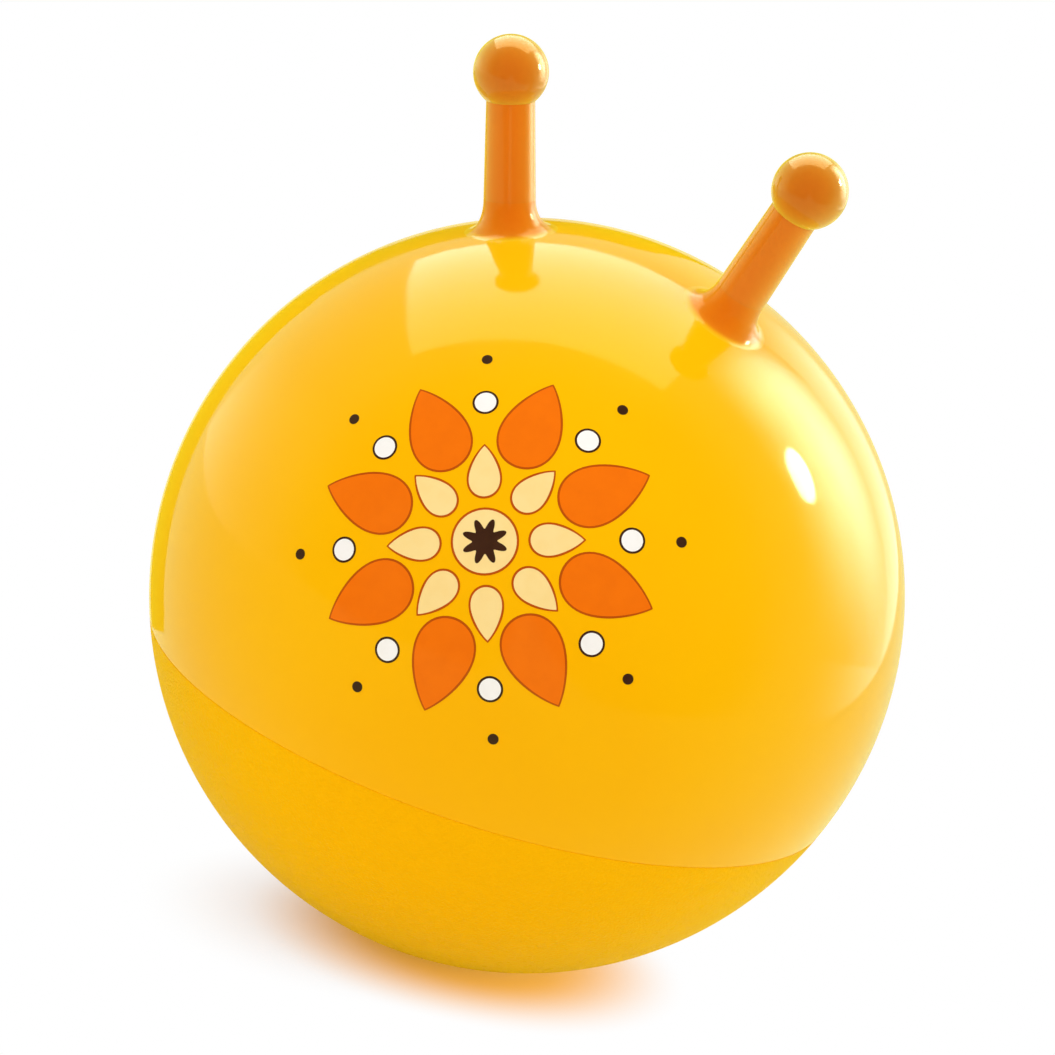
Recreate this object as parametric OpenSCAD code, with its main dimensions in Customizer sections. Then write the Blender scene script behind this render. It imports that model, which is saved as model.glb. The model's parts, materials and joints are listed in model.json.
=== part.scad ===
// Hopper ball with two knobbed handles, inflated and standing on the patch that its weight presses flat.
// Millimetres. +Z is the ball's own axis, between the handles. The handles stand apart along X and lean
// a little to the front, which is -Y. The origin is the middle of the patch, on the floor.

/* [Ball] */
// Outside diameter of the inflated ball
ball_d = 450; // [400:5:550]
// Wall of the moulded skin
skin_wall = 1.4; // [1:0.1:2.4]
// Radius of the patch that rests on the floor
patch_r = 30; // [20:1:45]
// Drop of the parting seam below the ball's middle
seam_drop = 74; // [40:1:110]
// Width of the groove along the seam
seam_groove_w = 1.6; // [0.8:0.1:2.4]
// Depth of the groove along the seam
seam_groove_depth = 0.6; // [0.3:0.05:0.8]

/* [Handles] */
// Outward angle of a handle's foot, seen from the ball's middle
foot_out = 18.4; // [15:0.2:26]
// Forward angle of a handle's foot, seen from the ball's middle
foot_forward = 7.6; // [3:0.2:12]
// Outward lean of a stem
lean_out = 16.2; // [12:0.2:22]
// Forward lean of a stem
lean_forward = 4.8; // [1:0.2:9]
// Radius of the fillet that flares each root out onto the skin
root_fillet = 13; // [9:0.5:18]
// Thickness of a root's rim above the skin
root_rim = 0.5; // [0.4:0.05:0.9]
// Straight neck of a root above its fillet
neck_len = 5.5; // [3:0.5:9]
// Diameter of a stem at its foot
stem_foot_d = 30.5; // [26:0.5:33]
// Diameter of a stem under its knob
stem_top_d = 28.5; // [25:0.5:31]
// Length from a stem's foot to the middle of its knob
stem_len = 74.5; // [60:0.5:95]
// Bore that lets the ball's air into root and stem
stem_bore_d = 17; // [12:0.5:18]
// Diameter of the spigot that carries a knob
spigot_d = 22; // [20:0.5:24]
// Length of the spigot above the stem's shoulder
spigot_len = 10; // [6:0.5:12]
// Diameter of a knob
knob_d = 44; // [38:0.5:50]
// Wall of the hollow knob
knob_wall = 4; // [2.5:0.25:5]

/* [Valve] */
// Angle of the valve above the ball's middle, at the back
valve_up = 20; // [10:1:40]
// Bore of the valve
valve_bore_d = 7.6; // [6:0.1:9]
// Outside diameter of the valve's tube
valve_tube_d = 12; // [11:0.5:14]
// Depth of the tube below the ball's surface
valve_depth = 16; // [12:0.5:22]
// Diameter of the rim around the valve's mouth
valve_rim_d = 20; // [18:0.5:26]
// Height of the rim above the skin
valve_rim_h = 0.9; // [0.6:0.1:1.5]
// Diameter of the flange that holds the valve from inside
valve_flange_d = 32; // [26:1:40]
// Thickness of the flange
valve_flange_t = 1.8; // [1.2:0.1:3]

/* [Plug] */
// Diameter of the plug's head
plug_head_d = 15; // [13:0.5:17]
// Height of the plug's head
plug_head_h = 2.4; // [2:0.1:4]
// Radius of the head's dome
plug_dome_r = 18; // [14:0.5:30]
// Length of the plug's shank
plug_len = 14; // [10:0.5:18]
// Depth of the groove between the sealing ribs
plug_groove = 0.5; // [0.3:0.05:0.8]
// Length of one sealing rib
plug_rib_len = 2.2; // [1.5:0.1:3]
// Number of sealing ribs
plug_ribs = 3; // [2:1:3]

/* [Hidden] */
$fn = 180;
// Room between pieces that seat on or in each other
fit_gap = 0.15;
// Running room around the plug
plug_gap = 0.06;
// Overrun of every cut
over = 1;
// Share of a rib's length that is cut back to lead it in
rib_lead_share = 0.6;

ball_r = ball_d / 2;
ball_z = sqrt(pow(ball_r, 2) - pow(patch_r, 2));
inner_r = ball_r - skin_wall;
seam_z = ball_z - seam_drop;
seam_r = sqrt(pow(ball_r, 2) - pow(seam_drop, 2));

stem_foot_r = stem_foot_d / 2;
stem_top_r = stem_top_d / 2;
knob_r = knob_d / 2;

// The fillet is a ring of round section that stands a rim's thickness clear of the ball.
fillet_ring_r = stem_foot_r + root_fillet;
fillet_reach = ball_r + root_fillet + root_rim;
fillet_z = sqrt(pow(fillet_reach, 2) - pow(fillet_ring_r, 2));
root_rim_r = fillet_ring_r * ball_r / fillet_reach;
neck_reach = fillet_z + neck_len;

// The knob sits on the stem's shoulder where its sphere is as wide as the stem.
knob_seat_drop = sqrt(pow(knob_r, 2) - pow(stem_top_r, 2));
shoulder_z = stem_len - knob_seat_drop;

// The plug's head lies on the valve's rim.
plug_z = ball_r + valve_rim_h + fit_gap;
plug_d = valve_bore_d - 2 * plug_gap;
plug_core_d = plug_d - 2 * plug_groove;
rib_pitch = (plug_len - plug_rib_len) / plug_ribs;

SKIN = "gold";
ROOT = "orange";
HANDLE = "darkorange";
VALVE = "whitesmoke";

// Direction of an axis that leans forward and then outward from +Z
function lean_dir(forward, out) = [cos(forward) * sin(out), -sin(forward), cos(forward) * cos(out)];

neck_point = [0, 0, ball_z] + neck_reach * lean_dir(foot_forward, foot_out);

// Frames that pieces share
module at_ball() {
    translate([0, 0, ball_z]) children();
}

// The origin is the ball's middle and +Z runs out through a handle's foot.
module along_foot() {
    at_ball() rotate([foot_forward, foot_out, 0]) children();
}

// The origin is the top of a root's neck and +Z runs up the stem.
module along_stem() {
    translate(neck_point) rotate([lean_forward, lean_out, 0]) children();
}

// The origin is the ball's middle and +Z runs out through the valve.
module along_valve() {
    at_ball() rotate([valve_up - 90, 0, 0]) children();
}

module mirrored(left) {
    mirror([left ? 1 : 0, 0, 0]) children();
}

// V-shaped groove along the parting seam, half in each skin
module seam_groove() {
    translate([0, 0, seam_z])
        rotate_extrude()
            polygon([
                [seam_r - seam_groove_depth, 0],
                [seam_r + seam_groove_w, -seam_groove_w],
                [seam_r + seam_groove_w, seam_groove_w]
            ]);
}

// Everything below a height, or above it, as a cut
module below(z) {
    translate([-ball_d, -ball_d, z - 2 * ball_d]) cube([2 * ball_d, 2 * ball_d, 2 * ball_d]);
}

module above(z) {
    translate([-ball_d, -ball_d, z]) cube([2 * ball_d, 2 * ball_d, 2 * ball_d]);
}

module foot_hole() {
    along_foot() cylinder(d = stem_bore_d, h = ball_d);
}

module upper_skin() {
    color(SKIN)
        difference() {
            at_ball() sphere(r = ball_r);
            at_ball() sphere(r = inner_r);
            below(seam_z);
            seam_groove();
            foot_hole();
            mirrored(true) foot_hole();
            along_valve() cylinder(d = valve_tube_d + 2 * fit_gap, h = ball_d);
        }
}

module lower_skin() {
    color(SKIN)
        difference() {
            at_ball() sphere(r = ball_r);
            difference() {
                at_ball() sphere(r = inner_r);
                below(skin_wall);
            }
            below(0);
            above(seam_z);
            seam_groove();
        }
}

// Flared root: a neck that a round fillet spreads onto the skin
module handle_root(left) {
    color(ROOT)
        mirrored(left)
            difference() {
                along_foot()
                    difference() {
                        union() {
                            cylinder(r = root_rim_r, h = fillet_z);
                            cylinder(r = stem_foot_r, h = neck_reach + stem_foot_r);
                        }
                        translate([0, 0, fillet_z])
                            rotate_extrude() translate([fillet_ring_r, 0]) circle(r = root_fillet);
                        cylinder(d = stem_bore_d, h = neck_reach + stem_foot_d);
                    }
                at_ball() sphere(r = ball_r + fit_gap);
                along_stem() cylinder(r = stem_foot_d, h = stem_len);
            }
}

// Hollow tapered stem with a shoulder and a spigot for the knob
module handle_stem(left) {
    color(HANDLE)
        mirrored(left)
            along_stem()
                difference() {
                    union() {
                        translate([0, 0, fit_gap])
                            cylinder(r1 = stem_foot_r, r2 = stem_top_r, h = shoulder_z - fit_gap);
                        translate([0, 0, fit_gap])
                            cylinder(d = spigot_d, h = shoulder_z + spigot_len - fit_gap);
                    }
                    cylinder(d = stem_bore_d, h = stem_len);
                }
}

// Hollow ball with a flat seat and a socket for the spigot
module handle_knob(left) {
    color(HANDLE)
        mirrored(left)
            along_stem()
                translate([0, 0, stem_len])
                    difference() {
                        sphere(r = knob_r);
                        sphere(r = knob_r - knob_wall);
                        translate([0, 0, -knob_seat_drop - knob_r]) cylinder(r = knob_d, h = knob_r);
                        translate([0, 0, -knob_seat_drop - over])
                            cylinder(d = spigot_d + 2 * fit_gap, h = spigot_len + over);
                    }
}

// Cap between two spheres about the ball's middle, as wide as a disc on its surface
module shell_disc(d, outer, inner) {
    difference() {
        intersection() {
            cylinder(d = d, h = ball_d);
            sphere(r = outer);
        }
        sphere(r = inner);
    }
}

// Grommet that holds the skin between a rim outside and a flange inside
module valve_seat() {
    color(VALVE)
        along_valve()
            difference() {
                union() {
                    shell_disc(valve_rim_d, ball_r + valve_rim_h, ball_r + fit_gap);
                    shell_disc(valve_flange_d, inner_r - fit_gap, inner_r - fit_gap - valve_flange_t);
                    intersection() {
                        translate([0, 0, ball_r - valve_depth]) cylinder(d = valve_tube_d, h = 2 * valve_depth);
                        sphere(r = ball_r + valve_rim_h);
                    }
                }
                translate([0, 0, ball_r - valve_depth - over]) cylinder(d = valve_bore_d, h = 2 * valve_depth);
            }
}

// Push-in plug: a domed head on a shank with sealing ribs that lead it in
module valve_plug() {
    rib_lead = plug_rib_len * rib_lead_share;
    color(VALVE)
        along_valve()
            translate([0, 0, plug_z]) {
                intersection() {
                    cylinder(d = plug_head_d, h = plug_head_h);
                    translate([0, 0, plug_head_h - plug_dome_r]) sphere(r = plug_dome_r);
                }
                translate([0, 0, -plug_len]) cylinder(d = plug_core_d, h = plug_len + plug_head_h / 2);
                for (k = [0:plug_ribs - 1])
                    translate([0, 0, k * rib_pitch - plug_len]) {
                        cylinder(d1 = plug_core_d, d2 = plug_d, h = rib_lead);
                        translate([0, 0, rib_lead]) cylinder(d = plug_d, h = plug_rib_len - rib_lead);
                    }
            }
}

upper_skin();
lower_skin();
handle_root(false);  // right_handle_root
handle_stem(false);  // right_handle_stem
handle_knob(false);  // right_handle_knob
handle_root(true);  // left_handle_root
handle_stem(true);  // left_handle_stem
handle_knob(true);  // left_handle_knob
valve_seat();
valve_plug();
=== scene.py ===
"""Looks of the hopper ball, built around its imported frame. Metres, +Z up, front towards -Y."""
import json
import math

import bpy
import numpy as np
from mathutils import Matrix, Vector


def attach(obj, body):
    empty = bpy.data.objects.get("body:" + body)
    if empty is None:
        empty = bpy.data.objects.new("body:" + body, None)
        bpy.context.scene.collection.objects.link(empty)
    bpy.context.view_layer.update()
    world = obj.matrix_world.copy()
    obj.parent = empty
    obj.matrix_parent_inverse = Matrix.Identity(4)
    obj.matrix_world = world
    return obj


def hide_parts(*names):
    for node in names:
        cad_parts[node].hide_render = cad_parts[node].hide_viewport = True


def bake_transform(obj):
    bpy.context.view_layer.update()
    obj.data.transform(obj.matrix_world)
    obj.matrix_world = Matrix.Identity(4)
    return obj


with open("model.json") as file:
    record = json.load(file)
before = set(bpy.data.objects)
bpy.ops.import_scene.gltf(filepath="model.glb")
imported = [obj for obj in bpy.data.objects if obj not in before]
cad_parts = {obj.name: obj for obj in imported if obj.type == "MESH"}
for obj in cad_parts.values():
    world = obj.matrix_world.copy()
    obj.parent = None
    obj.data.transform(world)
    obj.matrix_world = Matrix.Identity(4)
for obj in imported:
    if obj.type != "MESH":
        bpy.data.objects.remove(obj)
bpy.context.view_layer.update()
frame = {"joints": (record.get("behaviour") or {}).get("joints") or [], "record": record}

MM = 0.001
UP = Vector((0, 0, 1))
WHITE = (1, 1, 1)
# Radii and distances below this count as nothing
NOTHING = 1e-9

# Sizes of the ball
BALL_R = 225 * MM
PATCH_R = 30 * MM
SKIN_WALL = 1.4 * MM
SEAM_DROP = 74 * MM
SEAM_LIP_R = 0.8 * MM
SEAM_FACE_INSET = 0.2 * SEAM_LIP_R
BALL_MID = Vector((0, 0, math.sqrt(BALL_R**2 - PATCH_R**2)))
SEAM_Z = BALL_MID.z - SEAM_DROP

# Angles on the ball in degrees: the seam, a lip beside it, and the run from a lip to the round skin
SEAM_ANGLE = math.degrees(math.asin(-SEAM_DROP / BALL_R))
LIP_ANGLE = math.degrees(SEAM_LIP_R / BALL_R)
LIP_RUN = 0.4

# Sizes of the handles
STEM_FOOT_R = 15.25 * MM
STEM_TOP_R = 14.25 * MM
STEM_LEN = 74.5 * MM
GRIP_FROM_NECK = 28 * MM
KNOB_R = 22 * MM
KNOB_EDGE_R = 0.5 * MM
KNOB_EDGE_RUN = 1
ROOT_SPREAD = 27.5 * MM
ROOT_PULL_SKIN = 8 * MM
ROOT_PULL_STEM = 10 * MM

# A root's foot is tucked under the skin, with a rim that spreads a little wider just below it.
ROOT_TUCK = 0.4 * MM
ROOT_BASE_REACH = BALL_R - 2 * ROOT_TUCK
ROOT_RIM_REACH = BALL_R - ROOT_TUCK / 2
ROOT_RIM_SPREAD = ROOT_SPREAD + 4 * ROOT_TUCK

# Heights above the skin where a root's colour starts to turn and where it is the handle's
TINT_FROM = -0.4 * MM
TINT_FULL = 1.5 * MM

# Sizes of the valve and its plug
VALVE_BORE_R = 3.8 * MM
VALVE_TUBE_R = 6 * MM
VALVE_DEPTH = 16 * MM
VALVE_RIM_R = 10 * MM
VALVE_RIM_H = 0.9 * MM
VALVE_FLANGE_R = 16 * MM
VALVE_FLANGE_T = 1.8 * MM
VALVE_EDGE_R = 0.4 * MM
PLUG_GAP = 0.06 * MM
PLUG_HEAD_R = 7.5 * MM
PLUG_HEAD_H = 2.4 * MM
PLUG_EDGE_R = 0.5 * MM
PLUG_EDGE_RUN = 1
PLUG_DOME_R = 18 * MM
PLUG_LEN = 14 * MM
PLUG_GROOVE = 0.5 * MM
PLUG_RIB_LEN = 2.2 * MM
PLUG_RIBS = 3
RIB_LEAD_SHARE = 0.6
FIT_GAP = 0.15 * MM

# Place of the printed rosette on the front, and how its ink lies on the skin
PRINT_AZIMUTH = math.radians(9)
PRINT_ELEVATION = math.radians(22)
INK_LIFT = 0.12 * MM
INK_SINK = 0.2 * MM
EDGE_LIFT = INK_LIFT / 2
EDGE_W = 1.3 * MM

# Sizes of the rosette's motifs, and their distances from its middle
PETALS = 8
PETAL_SIZE = (56 * MM, 34 * MM)
PETAL_REACH = 73 * MM
PETAL_SWELL = 1.3
PETAL_TAPER = 0.8
LEAF_SIZE = (32 * MM, 19 * MM)
LEAF_REACH = 40 * MM
DOT_R = 7.5 * MM
DOT_REACH = 82 * MM
SEED_R = 3.2 * MM
SEED_REACH = 111 * MM
HEART_R = 19 * MM
STAR_R = 13 * MM
STAR_DEPTH = 6 * MM
STAR_TIPS = 8

# Steps around the turned shapes, and edges and points that count as sharp or as on the ball
SKIN_SEGMENTS = 300
HANDLE_SEGMENTS = 128
ROOT_SEGMENTS = 96
VALVE_SEGMENTS = 72
DRILL_SEGMENTS = 48
FLOOR_SEGMENTS = 64
STEM_STEPS = 16
ROOT_STEPS = 28
SHARP_ANGLE = math.radians(40)
ON_BALL_WITHIN = 0.02 * MM

# The photo's camera, fitted to the ball's outline, its seam and its handles
PHOTO_PX = 1055
BALL_PX = (527.0, 595.0)
BALL_R_PX = 378.0
CAM_DISTANCE = 2.8
CAM_YAW = math.radians(17.9)
CAM_ELEVATION = math.radians(16.1)
CAM_ROLL = math.radians(18.2)
SENSOR_W = 36.0


def photo_axes():
    """The photo's right, up and towards-the-camera directions in the row frame."""
    back = Vector((
        math.sin(CAM_YAW) * math.cos(CAM_ELEVATION),
        -math.cos(CAM_YAW) * math.cos(CAM_ELEVATION),
        math.sin(CAM_ELEVATION),
    ))
    level_right = UP.cross(back).normalized()
    level_up = back.cross(level_right)
    right = level_right * math.cos(CAM_ROLL) + level_up * math.sin(CAM_ROLL)
    return right, back.cross(right), back


CAM_RIGHT, CAM_UP, CAM_BACK = photo_axes()


def studio(right, up, back):
    """A point by its distances right, up and towards the camera from the ball's middle."""
    return BALL_MID + CAM_RIGHT * right + CAM_UP * up + CAM_BACK * back


# Mesh helpers


def add_object(name, data):
    """An object of the scene that shows these data."""
    item = bpy.data.objects.new(name, data)
    bpy.context.scene.collection.objects.link(item)
    return item


def add_mesh(name, verts, faces, material):
    """A smooth-shaded mesh object of these points and faces."""
    mesh = bpy.data.meshes.new(name)
    mesh.from_pydata([tuple(v) for v in verts], [], faces)
    mesh.update()
    mesh.shade_smooth()
    mesh.materials.append(material)
    return add_object(name, mesh)


def write_values(piece, name, values):
    """Keeps a number for each point of a piece, for its material to read."""
    attribute = piece.data.attributes.new(name, "FLOAT", "POINT")
    attribute.data.foreach_set("value", values)


def crisp(piece):
    """Keeps the edges of a turned piece sharp."""
    piece.data.set_sharp_from_angle(angle=SHARP_ANGLE)


def band(low, high):
    """Faces between two rings of vertex numbers. A ring of one vertex is a pole."""
    count = max(len(low), len(high))
    faces = []
    for i in range(count):
        j = (i + 1) % count
        if len(low) == 1:
            faces.append((low[0], high[j], high[i]))
        elif len(high) == 1:
            faces.append((low[i], low[j], high[0]))
        else:
            faces.append((low[i], low[j], high[j], high[i]))
    return faces


def skin_rings(rings, closed=False):
    """Points and faces of a surface through rings, each as long as the next or one point."""
    verts, faces, numbers = [], [], []
    for ring in rings:
        numbers.append(range(len(verts), len(verts) + len(ring)))
        verts.extend(ring)
    pairs = list(zip(numbers, numbers[1:]))
    if closed:
        pairs.append((numbers[-1], numbers[0]))
    for low, high in pairs:
        faces.extend(band(low, high))
    return verts, faces


def even_turns(count):
    """Angles of this many even steps around a circle."""
    return [math.tau * k / count for k in range(count)]


def on_circle(radius, turn):
    """Point of a circle about the origin."""
    return radius * math.cos(turn), radius * math.sin(turn)


def lathe(name, profile, place, material, segments, closed=False):
    """Turns a profile of (radius, height) about place's Z axis. Going up outside faces outward."""
    turns = even_turns(segments)
    rings = []
    for radius, height in profile:
        if radius < NOTHING:
            rings.append([place @ Vector((0, 0, height))])
        else:
            rings.append([place @ Vector((*on_circle(radius, t), height)) for t in turns])
    return add_mesh(name, *skin_rings(rings, closed), material)


def arc_point(mid, radius, angle):
    """Point of a circle in a profile, by its angle in degrees from the radial direction."""
    turn = math.radians(angle)
    return mid[0] + radius * math.cos(turn), mid[1] + radius * math.sin(turn)


def arc(mid, radius, start, end, count):
    """Points of an arc in a profile, in count steps between two angles in degrees."""
    return [arc_point(mid, radius, start + (end - start) * k / count) for k in range(count + 1)]


def axis_place(origin, axis):
    """Matrix whose origin and Z axis are these."""
    return Matrix.Translation(origin) @ axis.to_track_quat("Z", "Y").to_matrix().to_4x4()


def smoothstep(low, high, x):
    """Share that rises smoothly from 0 at low to 1 at high."""
    share = min(max((x - low) / (high - low), 0), 1)
    return share * share * (3 - 2 * share)


# Material helpers


class Shader:
    """A node material around one Principled shader, with short calls for the nodes used here."""

    def __init__(self, name):
        self.material = bpy.data.materials.new(name)
        self.material.use_nodes = True
        self.nodes = self.material.node_tree.nodes
        self.links = self.material.node_tree.links
        self.bsdf = self.nodes["Principled BSDF"]
        self.coords = self.nodes.new("ShaderNodeTexCoord").outputs["Object"]

    def set(self, **values):
        """Sets inputs of the shader, named with underscores for spaces."""
        for key, value in values.items():
            self.bsdf.inputs[key.replace("_", " ")].default_value = value

    def link(self, output, key):
        """Links an output to the shader's input of this name."""
        self.links.new(output, self.bsdf.inputs[key])

    def noise(self, scale, detail=2.0, roughness=0.5):
        """Cloudy noise from 0 to 1."""
        node = self.nodes.new("ShaderNodeTexNoise")
        node.inputs["Scale"].default_value = scale
        node.inputs["Detail"].default_value = detail
        node.inputs["Roughness"].default_value = roughness
        self.links.new(self.coords, node.inputs["Vector"])
        return node.outputs["Fac"]

    def cells(self, scale):
        """Distance from the middles of small cells."""
        node = self.nodes.new("ShaderNodeTexVoronoi")
        node.inputs["Scale"].default_value = scale
        self.links.new(self.coords, node.inputs["Vector"])
        return node.outputs["Distance"]

    def ranged(self, value, low, high, to_low=0, to_high=1):
        """A value that runs smoothly from to_low at low to to_high at high."""
        node = self.nodes.new("ShaderNodeMapRange")
        node.interpolation_type = "SMOOTHSTEP"
        self.links.new(value, node.inputs["Value"])
        keys = ("From Min", "From Max", "To Min", "To Max")
        for key, number in zip(keys, (low, high, to_low, to_high)):
            node.inputs[key].default_value = number
        return node.outputs["Result"]

    def mixed(self, share, first, second):
        """Colour between first and second, each an RGB tuple or a colour output."""
        node = self.nodes.new("ShaderNodeMix")
        node.data_type = "RGBA"
        self.links.new(share, node.inputs["Factor"])
        for key, colour in (("A", first), ("B", second)):
            socket = next(s for s in node.inputs if s.name == key and s.type == "RGBA")
            if isinstance(colour, tuple):
                socket.default_value = (*colour, 1)
            else:
                self.links.new(colour, socket)
        return next(s for s in node.outputs if s.type == "RGBA")

    def bump(self, height, strength, distance, under=None):
        """Normal that a height bends, on top of the normal under it."""
        node = self.nodes.new("ShaderNodeBump")
        node.inputs["Strength"].default_value = strength
        node.inputs["Distance"].default_value = distance
        self.links.new(height, node.inputs["Height"])
        if under is not None:
            self.links.new(under, node.inputs["Normal"])
        return node.outputs["Normal"]

    def spread(self, mid, turn, half_axes):
        """Distance from mid over the floor, where 1 lies on an ellipse with these half axes."""
        place = self.nodes.new("ShaderNodeMapping")
        place.vector_type = "TEXTURE"
        place.inputs["Location"].default_value = (*mid, 0)
        place.inputs["Rotation"].default_value = (0, 0, turn)
        place.inputs["Scale"].default_value = (*half_axes, 1)
        self.links.new(self.coords, place.inputs["Vector"])
        length = self.nodes.new("ShaderNodeVectorMath")
        length.operation = "LENGTH"
        self.links.new(place.outputs["Vector"], length.inputs[0])
        return length.outputs["Value"]

    def attribute(self, name):
        """The numbers that write_values keeps under this name."""
        node = self.nodes.new("ShaderNodeAttribute")
        node.attribute_name = name
        return node.outputs["Fac"]

    def mix_surface(self, share, first, second):
        """Makes the surface a mix of two shader outputs."""
        node = self.nodes.new("ShaderNodeMixShader")
        for output, socket in zip((share, first, second), node.inputs):
            self.links.new(output, socket)
        self.links.new(node.outputs[0], self.nodes["Material Output"].inputs["Surface"])


# Materials

AMBER_THIN = (0.98, 0.475, 0.001)
AMBER_THICK = (0.97, 0.45, 0.001)
# The lower skin's amber, a touch lighter than the upper's: painted light on the shaded underside
STIPPLE_LIT_THIN = (1, 0.49, 0.001)
STIPPLE_LIT_THICK = (0.99, 0.465, 0.001)
ORANGE_THIN = (0.77, 0.115, 0.002)
ORANGE_THICK = (0.71, 0.1, 0.002)
ROOT_THIN = (0.79, 0.13, 0.002)
ROOT_THICK = (0.73, 0.114, 0.002)
KNOB_THIN = (0.61, 0.076, 0.002)
KNOB_THICK = (0.57, 0.068, 0.002)
VALVE_SHADE = (0.72, 0.7, 0.63)
VALVE_PALE = (0.78, 0.76, 0.7)

# Inks, each in full and where it is worn
INK_ORANGE = ((0.9, 0.17, 0.004), (0.87, 0.16, 0.004))
INK_RUST = ((0.5, 0.075, 0.004), (0.46, 0.07, 0.004))
INK_CREAM = ((0.97, 0.72, 0.29), (0.96, 0.69, 0.26))
INK_BROWN = ((0.035, 0.012, 0.008), (0.045, 0.016, 0.01))
INK_WHITE = ((0.95, 0.92, 0.87), (0.93, 0.9, 0.84))

# Name under which a root's points keep how far they have turned to the handle's colour
TINT = "tint"


def moulded_colour(shader, thin, thick):
    """Slow drift of colour with the wall of a moulded skin."""
    drift = shader.ranged(shader.noise(scale=5, detail=3), low=0.35, high=0.65)
    return shader.mixed(drift, thin, thick)


def soft_gloss(shader, smooth, smudged):
    """Handled gloss: faint smudges in the roughness and a very slight ripple in the surface."""
    smudges = shader.noise(scale=14, detail=5, roughness=0.6)
    shader.link(shader.ranged(smudges, 0.35, 0.7, smooth, smudged), "Roughness")
    return shader.bump(shader.noise(scale=45), strength=0.06, distance=1 * MM)


def vinyl(name):
    """Soft vinyl: a low reflection that takes some of the skin's warmth, and a glow at its edges."""
    shader = Shader(name)
    shader.set(IOR=1.42, Specular_IOR_Level=0.26, Specular_Tint=(1, 0.92, 0.15, 1))
    shader.set(Sheen_Weight=0.9, Sheen_Roughness=0.5, Sheen_Tint=(1, 0.85, 0.01, 1))
    return shader


def dyed_colour(shader):
    """Skin colour that deepens to the handle's colour where the tint rises."""
    skin = moulded_colour(shader, AMBER_THIN, AMBER_THICK)
    handle = moulded_colour(shader, ROOT_THIN, ROOT_THICK)
    return shader.mixed(shader.attribute(TINT), skin, handle)


def let_light_in(shader):
    """Thicker, milky vinyl of the handles: more sheen, and light that wanders inside it."""
    shader.set(Specular_IOR_Level=0.75, Specular_Tint=(1, 0.8, 0.2, 1))
    shader.set(Sheen_Weight=1, Sheen_Roughness=0.65, Sheen_Tint=(1, 1, 0.08, 1))
    shader.set(Subsurface_Weight=0.15, Subsurface_Radius=(1, 0.35, 0.08))
    shader.set(Subsurface_Scale=6 * MM)


def gloss_vinyl():
    """Vinyl of the upper skin."""
    shader = vinyl("gloss_vinyl")
    shader.link(moulded_colour(shader, AMBER_THIN, AMBER_THICK), "Base Color")
    shader.link(soft_gloss(shader, smooth=0.05, smudged=0.11), "Normal")
    return shader.material


def stippled_vinyl():
    """The same vinyl with the mould's fine pebbled grain, which hardly reflects, in an amber lightened
    as painted light on the shaded underside.
    """
    shader = vinyl("stippled_vinyl")
    shader.set(Specular_IOR_Level=0.01, Sheen_Weight=1, Sheen_Tint=(1, 0.73, 0.005, 1))
    shader.link(moulded_colour(shader, STIPPLE_LIT_THIN, STIPPLE_LIT_THICK), "Base Color")
    wear = shader.noise(scale=160, detail=3)
    shader.link(shader.ranged(wear, 0.3, 0.7, to_low=0.26, to_high=0.4), "Roughness")
    fine = shader.bump(shader.noise(scale=900), strength=0.2, distance=0.15 * MM)
    grain = shader.cells(scale=620)
    shader.link(shader.bump(grain, strength=0.9, distance=0.45 * MM, under=fine), "Normal")
    return shader.material


def handle_vinyl(name, thin, thick):
    """Vinyl of the stems or the knobs."""
    shader = vinyl(name)
    let_light_in(shader)
    shader.link(moulded_colour(shader, thin, thick), "Base Color")
    shader.link(soft_gloss(shader, smooth=0.06, smudged=0.12), "Normal")
    return shader.material


def root_vinyl():
    """Vinyl of the roots, which runs from the skin's look into the handle's."""
    shader = vinyl("root_vinyl")
    let_light_in(shader)
    shader.set(Specular_IOR_Level=0.35, Sheen_Weight=0.9, Sheen_Tint=(1, 0.92, 0.05, 1))
    shader.link(dyed_colour(shader), "Base Color")
    shader.link(soft_gloss(shader, smooth=0.05, smudged=0.11), "Normal")
    return shader.material


def valve_vinyl():
    """Off-white satin vinyl of the valve and its plug."""
    shader = Shader("valve_vinyl")
    shader.set(IOR=1.45)
    mottle = shader.noise(scale=80, detail=3)
    shader.link(shader.mixed(mottle, VALVE_SHADE, VALVE_PALE), "Base Color")
    wear = shader.noise(scale=300, detail=3)
    shader.link(shader.ranged(wear, 0.3, 0.7, to_low=0.25, to_high=0.4), "Roughness")
    grain = shader.noise(scale=700)
    shader.link(shader.bump(grain, strength=0.15, distance=0.1 * MM), "Normal")
    return shader.material


def ink(name, full, worn):
    """Screen ink under the same gloss: even, with a faint mottle."""
    shader = vinyl(name)
    shader.set(Sheen_Weight=0)
    mottle = shader.ranged(shader.noise(scale=90, detail=4), low=0.3, high=0.75)
    shader.link(shader.mixed(mottle, full, worn), "Base Color")
    shader.link(soft_gloss(shader, smooth=0.07, smudged=0.13), "Normal")
    return shader.material


# The ball


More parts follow.
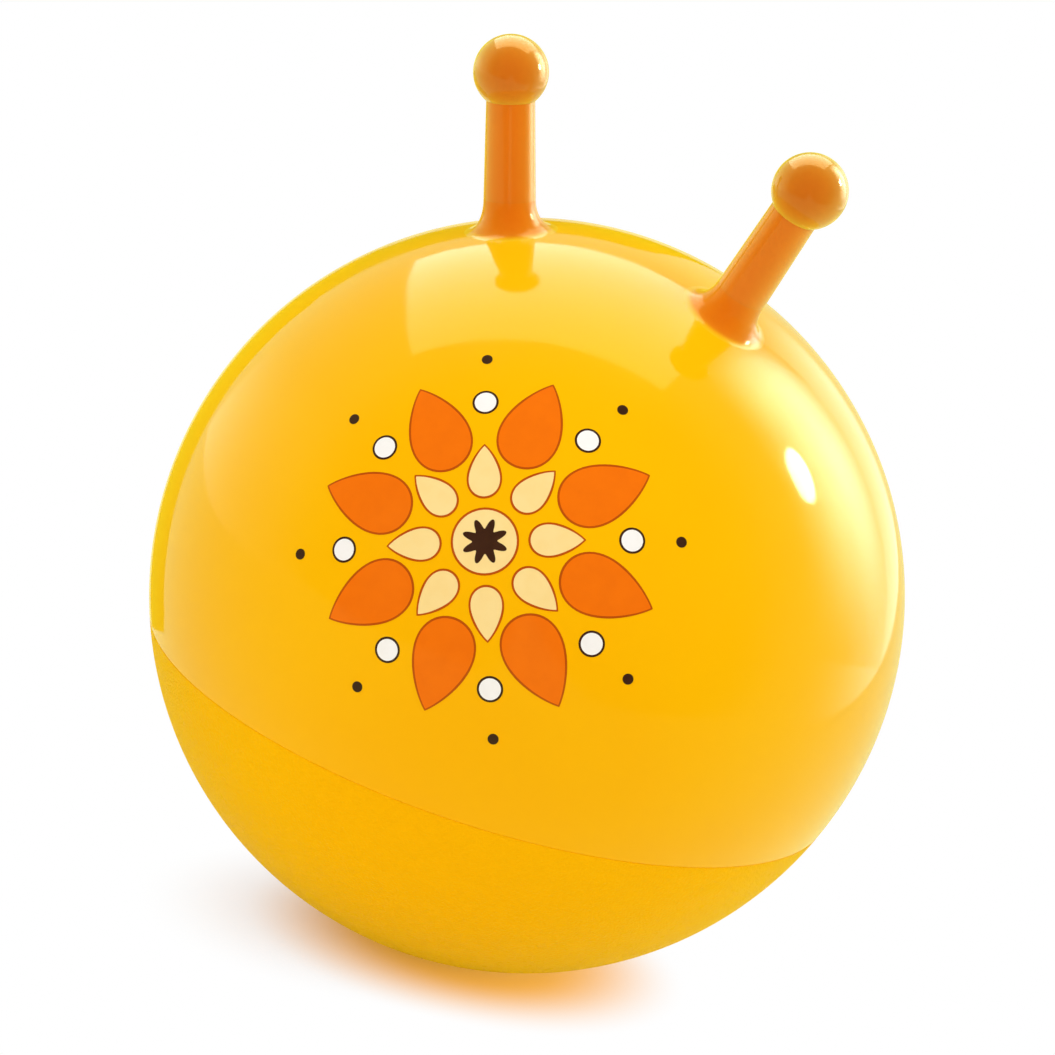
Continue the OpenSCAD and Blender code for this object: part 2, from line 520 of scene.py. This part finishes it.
def add_upper_skin(material):
    """Glossy upper part: a thin shell from the seam's upper lip to the pole, with the valve's hole."""
    mid, inner = BALL_MID.z, BALL_R - SKIN_WALL
    lip = SEAM_ANGLE + LIP_ANGLE
    lip_mid = arc_point((0, mid), BALL_R - SEAM_LIP_R, lip)
    profile = arc((0, mid), inner, 90, SEAM_ANGLE, count=60)
    profile += [(lip_mid[0] - SEAM_FACE_INSET, SEAM_Z)]
    profile += arc(lip_mid, SEAM_LIP_R, -90, lip, count=6)
    profile += arc((0, mid), BALL_R, lip + LIP_RUN, 90, count=150)
    profile[0] = (0, mid + inner)
    profile[-1] = (0, mid + BALL_R)
    skin = lathe("upper_skin_vinyl", profile, Matrix(), material, SKIN_SEGMENTS)
    cut_hole(skin, valve_place(), VALVE_TUBE_R + FIT_GAP, VALVE_DEPTH)
    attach(skin, "ball")
    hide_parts("upper_skin")


def add_lower_skin(material):
    """Stippled lower part: a thin bowl from the flat patch to the seam's lower lip."""
    mid, inner = BALL_MID.z, BALL_R - SKIN_WALL
    lip = SEAM_ANGLE - LIP_ANGLE
    patch = -math.degrees(math.acos(PATCH_R / BALL_R))
    inner_patch = -math.degrees(math.asin((mid - SKIN_WALL) / inner))
    lip_mid = arc_point((0, mid), BALL_R - SEAM_LIP_R, lip)
    profile = [(0, 0), (PATCH_R / 2, 0)]
    profile += arc((0, mid), BALL_R, patch, lip - LIP_RUN, count=90)
    profile += arc(lip_mid, SEAM_LIP_R, lip, 90, count=6)
    profile += [(lip_mid[0] - SEAM_FACE_INSET, SEAM_Z)]
    profile += arc((0, mid), inner, SEAM_ANGLE, inner_patch, count=50)
    profile += [(0, SKIN_WALL)]
    skin = lathe("lower_skin_vinyl", profile, Matrix(), material, SKIN_SEGMENTS)
    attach(skin, "ball")
    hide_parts("lower_skin")


def cut_hole(piece, place, radius, depth):
    """Cuts a round hole along the Z axis of place, and keeps the ball's true normals around it."""
    profile = [(0, -depth), (radius, -depth), (radius, depth), (0, depth)]
    drill = lathe("drill", profile, place, piece.data.materials[0], DRILL_SEGMENTS)
    cut = piece.modifiers.new("hole", "BOOLEAN")
    cut.operation = "DIFFERENCE"
    cut.object = drill
    graph = bpy.context.evaluated_depsgraph_get()
    mesh = bpy.data.meshes.new_from_object(piece.evaluated_get(graph))
    piece.modifiers.clear()
    piece.data = mesh
    bpy.data.objects.remove(drill)
    normals = np.array([v.normal for v in mesh.vertices])
    out = np.array([v.co for v in mesh.vertices]) - np.array(BALL_MID)
    reach = np.linalg.norm(out, axis=1)
    on_ball = np.abs(reach - BALL_R) < ON_BALL_WITHIN
    normals[on_ball] = out[on_ball] / reach[on_ball, None]
    mesh.normals_split_custom_set_from_vertices(normals.tolist())


# The handles


def dye(piece):
    """Writes how far the handle's colour has come through at each point of a root, by its height."""
    heights = [(v.co - BALL_MID).length - BALL_R for v in piece.data.vertices]
    write_values(piece, TINT, [smoothstep(TINT_FROM, TINT_FULL, height) for height in heights])


def grip_of(side):
    """Neck point and stem axis of a handle, from the record's grip mount."""
    mount = next(m for m in frame["record"]["mounts"] if m["name"] == side + "_grip")
    axis = Vector(mount["axis"]).normalized()
    return Vector(mount["pos_m"]) - axis * GRIP_FROM_NECK, axis


def add_root(side, material):
    """Flared root: a loft from a circle on the ball to the stem's foot, tangent to both."""
    neck, axis = grip_of(side)
    out = (neck - BALL_MID).normalized()
    skin_x = out.orthogonal().normalized()
    skin_y = out.cross(skin_x)
    stem_x = (skin_x - axis * skin_x.dot(axis)).normalized()
    stem_y = axis.cross(stem_x)
    turns = even_turns(ROOT_SEGMENTS)
    spread = ROOT_SPREAD / BALL_R
    rim_spread = ROOT_RIM_SPREAD / BALL_R

    def on_ball(turn, angle, reach):
        """Point at an angle off the root's axis and a reach from the ball's middle."""
        away = skin_x * math.cos(turn) + skin_y * math.sin(turn)
        return BALL_MID + (out * math.cos(angle) + away * math.sin(angle)) * reach

    def flare(turn, share):
        """Point of the cubic curve that leaves the skin along it and joins the stem along its axis."""
        away = skin_x * math.cos(turn) + skin_y * math.sin(turn)
        inward = out * math.sin(spread) - away * math.cos(spread)
        start = on_ball(turn, spread, BALL_R)
        end = neck + (stem_x * math.cos(turn) + stem_y * math.sin(turn)) * STEM_FOOT_R
        points = (start, start + inward * ROOT_PULL_SKIN, end - axis * ROOT_PULL_STEM, end)
        rest = 1 - share
        weights = (rest**3, 3 * rest**2 * share, 3 * rest * share**2, share**3)
        return sum((p * w for p, w in zip(points, weights)), Vector())

    rings = [[BALL_MID + out * ROOT_BASE_REACH]]
    rings.append([on_ball(t, spread, ROOT_BASE_REACH) for t in turns])
    rings.append([on_ball(t, rim_spread, ROOT_RIM_REACH) for t in turns])
    rings.extend([flare(t, k / ROOT_STEPS) for t in turns] for k in range(ROOT_STEPS + 1))
    rings.append([neck])
    root = add_mesh(side + "_root_vinyl", *skin_rings(rings), material)
    crisp(root)
    dye(root)
    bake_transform(root)
    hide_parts(side + "_handle_root")


def add_handle(side, stem_look, knob_look):
    """Tapered stem and ball knob, turned about the stem's axis."""
    neck, axis = grip_of(side)
    place = axis_place(neck, axis)
    seat = math.sqrt(KNOB_R**2 - STEM_TOP_R**2)
    shoulder = STEM_LEN - seat
    profile = [(0, 0)]
    for k in range(STEM_STEPS + 1):
        radius = STEM_FOOT_R + (STEM_TOP_R - STEM_FOOT_R) * k / STEM_STEPS
        profile.append((radius, shoulder * k / STEM_STEPS))
    profile.append((0, shoulder))
    stem = lathe(side + "_stem_vinyl", profile, place, stem_look, HANDLE_SEGMENTS)
    edge = math.degrees(math.asin(-(seat - KNOB_EDGE_R) / (KNOB_R - KNOB_EDGE_R)))
    edge_mid = arc_point((0, STEM_LEN), KNOB_R - KNOB_EDGE_R, edge)
    profile = [(0, shoulder)]
    profile += arc(edge_mid, KNOB_EDGE_R, -90, edge, count=5)
    profile += arc((0, STEM_LEN), KNOB_R, edge + KNOB_EDGE_RUN, 90, count=64)
    profile[-1] = (0, STEM_LEN + KNOB_R)
    knob = lathe(side + "_knob_vinyl", profile, place, knob_look, HANDLE_SEGMENTS)
    for piece, node in ((stem, "_handle_stem"), (knob, "_handle_knob")):
        crisp(piece)
        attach(piece, side + "_handle")
        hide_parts(side + node)


# The valve


def valve_place():
    """Frame with its origin on the ball's surface and Z out along the plug's way."""
    pull = next(j for j in frame["joints"] if j["name"] == "plug_pull")
    axis = Vector(pull["axis"]).normalized()
    return axis_place(BALL_MID + axis * BALL_R, axis)


def add_valve(material):
    """Grommet in the skin: a rim outside, a tube through and a flange inside."""
    def skin_at(radius, drop):
        """Profile point at this radius, a drop below the ball's surface."""
        return (radius, math.sqrt((BALL_R - drop)**2 - radius**2) - BALL_R)

    under = SKIN_WALL + FIT_GAP
    below = under + VALVE_FLANGE_T
    edge = VALVE_EDGE_R
    profile = [(VALVE_BORE_R, -VALVE_DEPTH)]
    profile += arc((VALVE_BORE_R + edge, VALVE_RIM_H - edge), edge, 180, 90, count=4)
    profile += arc((VALVE_RIM_R - edge, VALVE_RIM_H - edge), edge, 90, 0, count=4)
    profile += [skin_at(VALVE_RIM_R, 0), skin_at(VALVE_TUBE_R, 0), skin_at(VALVE_TUBE_R, under)]
    profile += [skin_at(VALVE_FLANGE_R, under), skin_at(VALVE_FLANGE_R, below)]
    profile += [skin_at(VALVE_TUBE_R, below), (VALVE_TUBE_R, -VALVE_DEPTH)]
    profile.reverse()
    seat = lathe("valve_seat_vinyl", profile, valve_place(), material, VALVE_SEGMENTS, closed=True)
    crisp(seat)
    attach(seat, "ball")
    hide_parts("valve_seat")


def add_plug(material):
    """Push-in plug with sealing ribs and a domed head."""
    place = valve_place() @ Matrix.Translation((0, 0, VALVE_RIM_H + FIT_GAP))
    full = VALVE_BORE_R - PLUG_GAP
    core = full - PLUG_GROOVE
    pitch = (PLUG_LEN - PLUG_RIB_LEN) / PLUG_RIBS
    profile = [(0, -PLUG_LEN)]
    for k in range(PLUG_RIBS):
        foot = k * pitch - PLUG_LEN
        lead = foot + PLUG_RIB_LEN * RIB_LEAD_SHARE
        top = foot + PLUG_RIB_LEN
        profile += [(core, foot), (full, lead), (full, top), (core, top)]
    profile += [(core, 0)]
    rim_mid = (PLUG_HEAD_R - PLUG_EDGE_R, PLUG_EDGE_R)
    rim = math.degrees(math.acos((PLUG_HEAD_R - PLUG_EDGE_R) / PLUG_DOME_R))
    dome_mid = (0, PLUG_HEAD_H - PLUG_DOME_R)
    profile += arc(rim_mid, PLUG_EDGE_R, -90, rim, count=6)
    profile += arc(dome_mid, PLUG_DOME_R, rim + PLUG_EDGE_RUN, 90, count=16)
    profile[-1] = (0, PLUG_HEAD_H)
    plug = lathe("valve_plug_vinyl", profile, place, material, VALVE_SEGMENTS)
    crisp(plug)
    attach(plug, "plug")
    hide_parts("valve_plug")


# The printed rosette


def print_point(x, y, lift):
    """Point of the ball at distances x to the right and y up from the rosette's middle."""
    flat = math.cos(PRINT_ELEVATION)
    out = Vector((
        flat * math.sin(PRINT_AZIMUTH),
        -flat * math.cos(PRINT_AZIMUTH),
        math.sin(PRINT_ELEVATION),
    ))
    right = UP.cross(out).normalized()
    up = out.cross(right)
    reach = math.hypot(x, y)
    if reach < NOTHING:
        return BALL_MID + out * (BALL_R + lift)
    away = (right * x + up * y) / reach
    angle = reach / BALL_R
    return BALL_MID + (out * math.cos(angle) + away * math.sin(angle)) * (BALL_R + lift)


def spun(outline, turn, reach):
    """An outline moved out along +X by reach and turned about the rosette's middle."""
    c, s = math.cos(turn), math.sin(turn)
    return [((x + reach) * c - y * s, (x + reach) * s + y * c) for x, y in outline]


def petal(length, width, points=56):
    """Leaf with a round foot and a pointed tip, long along X, about its own middle."""
    outline = []
    for t in even_turns(points):
        taper = abs(math.sin(t / 2)) ** PETAL_TAPER
        outline.append((length / 2 * math.cos(t), width / 2 * math.sin(t) * PETAL_SWELL * taper))
    return outline


def disc(radius, points=48):
    """Round outline about its own middle."""
    return [on_circle(radius, t) for t in even_turns(points)]


def star(radius, depth, tips, points=120):
    """Soft star whose edge waves between radius and radius less depth."""
    def reach(turn):
        return radius - depth * (0.5 - 0.5 * math.cos(tips * turn))

    return [on_circle(reach(t), t) for t in even_turns(points)]


def mid_of(outline):
    """Middle of an outline's points."""
    count = len(outline)
    return sum(x for x, y in outline) / count, sum(y for x, y in outline) / count


def shrunk(outline, border):
    """An outline drawn in by a border, about its own middle."""
    mid_x, mid_y = mid_of(outline)
    inner = []
    for x, y in outline:
        share = 1 - border / math.hypot(x - mid_x, y - mid_y)
        inner.append((mid_x + (x - mid_x) * share, mid_y + (y - mid_y) * share))
    return inner


def film_rings(outline, height, count):
    """Rings of points at a height on the ball, from an outline in to its middle."""
    mid_x, mid_y = mid_of(outline)

    def ring(s):
        return [
            print_point(mid_x + (x - mid_x) * s, mid_y + (y - mid_y) * s, height)
            for x, y in outline
        ]

    return [ring(k / count) for k in range(count, 0, -1)] + [[print_point(mid_x, mid_y, height)]]


def add_print(name, outlines, lift, material, rings=12):
    """Thin ink films on the ball, one for each outline, filled from its middle."""
    verts, faces = [], []
    for outline in outlines:
        under = film_rings(outline, -INK_SINK, rings)
        more, covers = skin_rings(under[::-1] + film_rings(outline, lift, rings))
        faces.extend(tuple(n + len(verts) for n in face) for face in covers)
        verts.extend(more)
    film_piece = add_mesh(name, verts, faces, material)
    crisp(film_piece)
    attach(film_piece, "ball")


def add_rosette():
    """A flower of pointed petals, leaves, dots and a soft star on the ball's front."""
    orange = ink("ink_orange", *INK_ORANGE)
    rust = ink("ink_rust", *INK_RUST)
    cream = ink("ink_cream", *INK_CREAM)
    brown = ink("ink_brown", *INK_BROWN)
    white = ink("ink_white", *INK_WHITE)
    step = math.tau / PETALS
    between = [(k + 0.5) * step for k in range(PETALS)]
    petals = [spun(petal(*PETAL_SIZE), k * step, PETAL_REACH) for k in range(PETALS)]
    leaves = [spun(petal(*LEAF_SIZE), turn, LEAF_REACH) for turn in between]
    dots = [spun(disc(DOT_R), turn, DOT_REACH) for turn in between]
    seeds = [spun(disc(SEED_R), turn, SEED_REACH) for turn in between]
    heart = disc(HEART_R)
    add_print("print_petal_edges", petals, EDGE_LIFT, rust)
    add_print("print_petals", [shrunk(p, EDGE_W) for p in petals], INK_LIFT, orange)
    add_print("print_leaf_edges", leaves, EDGE_LIFT, rust)
    add_print("print_leaves", [shrunk(p, EDGE_W) for p in leaves], INK_LIFT, cream)
    add_print("print_dot_edges", dots, EDGE_LIFT, brown, rings=5)
    add_print("print_dots", [shrunk(d, EDGE_W) for d in dots], INK_LIFT, white, rings=5)
    add_print("print_seeds", seeds, INK_LIFT, brown, rings=3)
    add_print("print_heart_edge", [heart], EDGE_LIFT, rust, rings=8)
    add_print("print_heart", [shrunk(heart, EDGE_W)], INK_LIFT, cream, rings=8)
    soft_star = star(STAR_R, STAR_DEPTH, STAR_TIPS)
    add_print("print_star", [soft_star], INK_LIFT + EDGE_LIFT, brown, rings=6)


# Stage

FLOOR_COLOUR = (0.95, 0.95, 0.95, 1)
FLOOR_DROP = 0.2 * MM
FLOOR_RADII = (1, 30)
ROOM_LIGHT = 0.59

# The ball's shadow on the floor, and a painted amber glow around its foot: a pool of light painted
# into the floor's white
SHADOW_TURN = math.radians(59)
SHADOW_MID = (0, 0)
SHADOW_HALF_AXES = (0.2, 0.12)
PAINTED_GLOW_MID = (0.031, 0.008)
PAINTED_GLOW_HALF_AXES = (0.155, 0.118)
PAINTED_FOOT_GLOW = (1, 0.45, 0.03)

# Places of the cards and fills
TOP_CARD_AT = studio(0.19, 1.15, -0.245)
RIGHT_CARD_AT = studio(1.35, 0.45, -1.65)
GLOW_CARD_AT = studio(1.35, 0.75, -0.55)
LEFT_CARD_AT = studio(-1.5, 0.7, -0.28)
LAMP_CARD_AT = studio(1.238, 0.54, -0.094)
TOP_FILL_AT = studio(0.1, 1.3, 0.4)
RIGHT_FILL_AT = studio(1.4, 0.3, 0.5)
FRONT_FILL_AT = studio(-1, 0.35, 2.2)
TOP_CARD_ALONG = CAM_RIGHT + CAM_BACK * 0.15

# Ramps of the cards: an axis, and the shares along it where the card is dark and where it is full
RIGHT_CARD_ENDS = (("X", 0, 0.28), ("X", 1, 0.7), ("Y", 0, 0.26), ("Y", 1, 0.65))
GLOW_CARD_ENDS = (("X", 0, 0.4), ("X", 1, 0.5), ("Y", 0, 0.45), ("Y", 1, 0.65))
LEFT_CARD_ENDS = (("X", 1, 0.2), ("Y", 0, 0.3), ("Y", 1, 0.5))

# The flags' colours, their steps, and the name under which their points keep how much they cover
FLAG_DEEP = (0.8, 0.34, 0.01)
FLAG_PALE = (0.86, 0.38, 0.015)
FLAG_STEPS = 32
FLAG_TAPER_STEPS = 6
FLAG_END_WIDTH = 0.02
COVER = "cover"


def joined(nodes, links, operation, first, second):
    """Output of a math node over two outputs."""
    node = nodes.new("ShaderNodeMath")
    node.operation = operation
    links.new(first, node.inputs[0])
    links.new(second, node.inputs[1])
    return node.outputs[0]


def seen_rays(nodes, links):
    """Share that is 1 for rays that show the stage: camera, glossy and transmitted ones."""
    path = nodes.new("ShaderNodeLightPath").outputs
    seen = joined(nodes, links, "MAXIMUM", path["Is Camera Ray"], path["Is Glossy Ray"])
    return joined(nodes, links, "MAXIMUM", seen, path["Is Transmission Ray"])


def add_floor():
    """Wide white floor that keeps the ball's shadow nearby and runs out to plain white, with a painted
    amber glow around the ball's foot.
    """
    shader = Shader("floor_white")
    shader.set(Base_Color=FLOOR_COLOUR, Roughness=0.22, Specular_IOR_Level=0.5)
    nodes, links = shader.nodes, shader.links
    shadow = shader.spread(SHADOW_MID, SHADOW_TURN, SHADOW_HALF_AXES)
    far = shader.ranged(shadow, low=0.25, high=1, to_low=0.5)
    # Painted light: near the ball's foot the floor's emission turns from white to an amber glow, which
    # reflections show too
    glow = shader.spread(PAINTED_GLOW_MID, SHADOW_TURN, PAINTED_GLOW_HALF_AXES)
    past_glow = shader.ranged(glow, low=0.4, high=1)
    plain = nodes.new("ShaderNodeEmission")
    links.new(shader.mixed(past_glow, PAINTED_FOOT_GLOW, WHITE), plain.inputs["Color"])
    share = joined(nodes, links, "MULTIPLY", far, seen_rays(nodes, links))
    shader.mix_surface(share, shader.bsdf.outputs[0], plain.outputs[0])
    profile = [(0, 0), *((radius, 0) for radius in FLOOR_RADII)]
    place = Matrix.Translation((0, 0, -FLOOR_DROP))
    floor = lathe("floor", profile, place, shader.material, FLOOR_SEGMENTS)
    floor.data.flip_normals()


def add_panel(name, centre, facing, along, size, radiance, ends=None):
    """Rectangular light: facing is the way it shines, along the way its width runs.

    The ends list ramps of (X or Y, dark, full): shares of its width or height.
    """
    light = bpy.data.lights.new(name, "AREA")
    light.shape = "RECTANGLE"
    light.size, light.size_y = size
    light.energy = radiance * math.pi * size[0] * size[1]
    if ends:
        fade_panel(light, ends)
    back = -facing.normalized()
    across = (along - back * along.dot(back)).normalized()
    turn = Matrix((across, back.cross(across), back)).transposed().to_4x4()
    lamp = add_object(name, light)
    lamp.matrix_world = Matrix.Translation(centre) @ turn
    lamp.visible_camera = False
    return lamp


def fade_panel(light, ends):
    """Lets a light run out to dark at its ends."""
    light.use_nodes = True
    nodes, links = light.node_tree.nodes, light.node_tree.links
    place = nodes.new("ShaderNodeSeparateXYZ")
    links.new(nodes.new("ShaderNodeNewGeometry").outputs["Parametric"], place.inputs[0])
    strength = None
    for axis, dark, full in ends:
        level = nodes.new("ShaderNodeMapRange")
        level.interpolation_type = "SMOOTHSTEP"
        links.new(place.outputs[axis], level.inputs["Value"])
        level.inputs["From Min"].default_value = dark
        level.inputs["From Max"].default_value = full
        if strength is not None:
            links.new(strength, level.inputs["To Max"])
        strength = level.outputs["Result"]
    links.new(strength, nodes["Emission"].inputs["Strength"])


def add_cards():
    """Lights that show only in the gloss."""
    cards = [
        add_panel(
            "top_card", TOP_CARD_AT, -CAM_UP, TOP_CARD_ALONG, size=(1.33, 1.14), radiance=4.4),
        add_panel(
            "right_card", RIGHT_CARD_AT, -CAM_RIGHT, -CAM_BACK,
            size=(3.6, 2.6), radiance=2.3, ends=RIGHT_CARD_ENDS),
        add_panel(
            "glow_card", GLOW_CARD_AT, -CAM_RIGHT, -CAM_BACK,
            size=(1.5, 2.1), radiance=13, ends=GLOW_CARD_ENDS),
        add_panel(
            "left_card", LEFT_CARD_AT, CAM_RIGHT, CAM_BACK,
            size=(2.95, 1.8), radiance=1, ends=LEFT_CARD_ENDS),
    ]
    lamp_card = add_panel(
        "lamp_card", LAMP_CARD_AT, BALL_MID - LAMP_CARD_AT, CAM_UP, size=(0.27, 0.2), radiance=45)
    lamp_card.data.shape = "ELLIPSE"
    for card in (*cards, lamp_card):
        card.visible_diffuse = False


def add_fills():
    """Lights that light the object evenly and don't show in it."""
    fills = [
        add_panel("top_fill", TOP_FILL_AT, -CAM_UP, CAM_RIGHT, size=(1.4, 1.2), radiance=1.3),
        add_panel(
            "right_fill", RIGHT_FILL_AT, -CAM_RIGHT, -CAM_BACK, size=(1.2, 1.2), radiance=1.7),
        add_panel(
            "front_fill", FRONT_FILL_AT, BALL_MID - FRONT_FILL_AT, CAM_RIGHT,
            size=(2, 1.5), radiance=1.72),
    ]
    for fill in fills:
        fill.visible_glossy = False


def flag_look():
    """Dull amber that clears where a flag covers less."""
    shader = Shader("flag_amber")
    shader.set(Roughness=1)
    shader.link(shader.mixed(shader.noise(scale=3), FLAG_DEEP, FLAG_PALE), "Base Color")
    clear = shader.nodes.new("ShaderNodeBsdfTransparent")
    cover = shader.ranged(shader.attribute(COVER), low=0, high=0.4)
    shader.mix_surface(cover, clear.outputs[0], shader.bsdf.outputs[0])
    return shader.material


def add_flags():
    """Amber screens that only reflections show: two deepen the upper left rim, one the front."""
    look = flag_look()
    add_flag("far_flag", look, turns=(54, 150), rims=((1.6, -4.5), (1.6, -1.85)))
    add_flag("front_flag", look, turns=(-90, 270), rims=((0.02, 2.2), (2.6, 0.3)), far_cover=0)
    add_flag("near_flag", look, turns=(110, 200), rims=((0.325, -0.35), (0.42, -0.2)))


def add_flag(name, material, turns, rims, far_cover=1):
    """Strip about the camera's axis, between two turns in degrees and two rims.

    A rim is (radius, distance towards the camera). The second rim draws in to the first at both
    ends, and far_cover tells how much it covers.
    """
    first, second = rims
    near, far = [], []
    for k in range(FLAG_STEPS + 1):
        angle = math.radians(turns[0] + (turns[1] - turns[0]) * k / FLAG_STEPS)
        from_end = min(k, FLAG_STEPS - k)
        width = max(smoothstep(0, FLAG_TAPER_STEPS, from_end), FLAG_END_WIDTH)
        reach = [a + (b - a) * width for a, b in zip(first, second)]
        for side, (radius, back) in ((near, first), (far, reach)):
            side.append(studio(*on_circle(radius, angle), back))
    row = FLAG_STEPS + 1
    faces = [(k, k + 1, k + row + 1, k + row) for k in range(FLAG_STEPS)]
    flag = add_mesh(name, near + far, faces, material)
    write_values(flag, COVER, [1] * len(near) + [far_cover] * len(far))
    flag.visible_camera = False
    flag.visible_diffuse = False
    flag.visible_shadow = False


def add_world():
    """Even room that looks white and lights the object at a plain level."""
    world = bpy.data.worlds.new("room")
    world.use_nodes = True
    nodes, links = world.node_tree.nodes, world.node_tree.links
    room = nodes["Background"]
    room.inputs["Color"].default_value = (*WHITE, 1)
    strength = nodes.new("ShaderNodeMapRange")
    strength.inputs["To Min"].default_value = ROOM_LIGHT
    links.new(seen_rays(nodes, links), strength.inputs["Value"])
    links.new(strength.outputs["Result"], room.inputs["Strength"])
    bpy.context.scene.world = world


def add_camera():
    """Camera of the photo: the ball's middle and outline fall on their pixels."""
    focal_px = BALL_R_PX * math.sqrt(CAM_DISTANCE**2 - BALL_R**2) / BALL_R
    across = (BALL_PX[0] - PHOTO_PX / 2) / focal_px * CAM_DISTANCE
    down = (BALL_PX[1] - PHOTO_PX / 2) / focal_px * CAM_DISTANCE
    data = bpy.data.cameras.new("photo_camera")
    data.sensor_width = SENSOR_W
    data.lens = focal_px * SENSOR_W / PHOTO_PX
    camera = add_object("photo_camera", data)
    turn = Matrix((CAM_RIGHT, CAM_UP, CAM_BACK)).transposed().to_4x4()
    camera.matrix_world = Matrix.Translation(studio(-across, down, CAM_DISTANCE)) @ turn
    bpy.context.scene.camera = camera


add_camera()
add_upper_skin(gloss_vinyl())
add_lower_skin(stippled_vinyl())
root_look = root_vinyl()
stem_look = handle_vinyl("stem_vinyl", ORANGE_THIN, ORANGE_THICK)
knob_look = handle_vinyl("knob_vinyl", KNOB_THIN, KNOB_THICK)
for side in ("right", "left"):
    add_root(side, root_look)
    add_handle(side, stem_look, knob_look)
valve_look = valve_vinyl()
add_valve(valve_look)
add_plug(valve_look)
add_rosette()
add_floor()
add_cards()
add_fills()
add_flags()
add_world()
bpy.context.scene.view_settings.view_transform = "Standard"
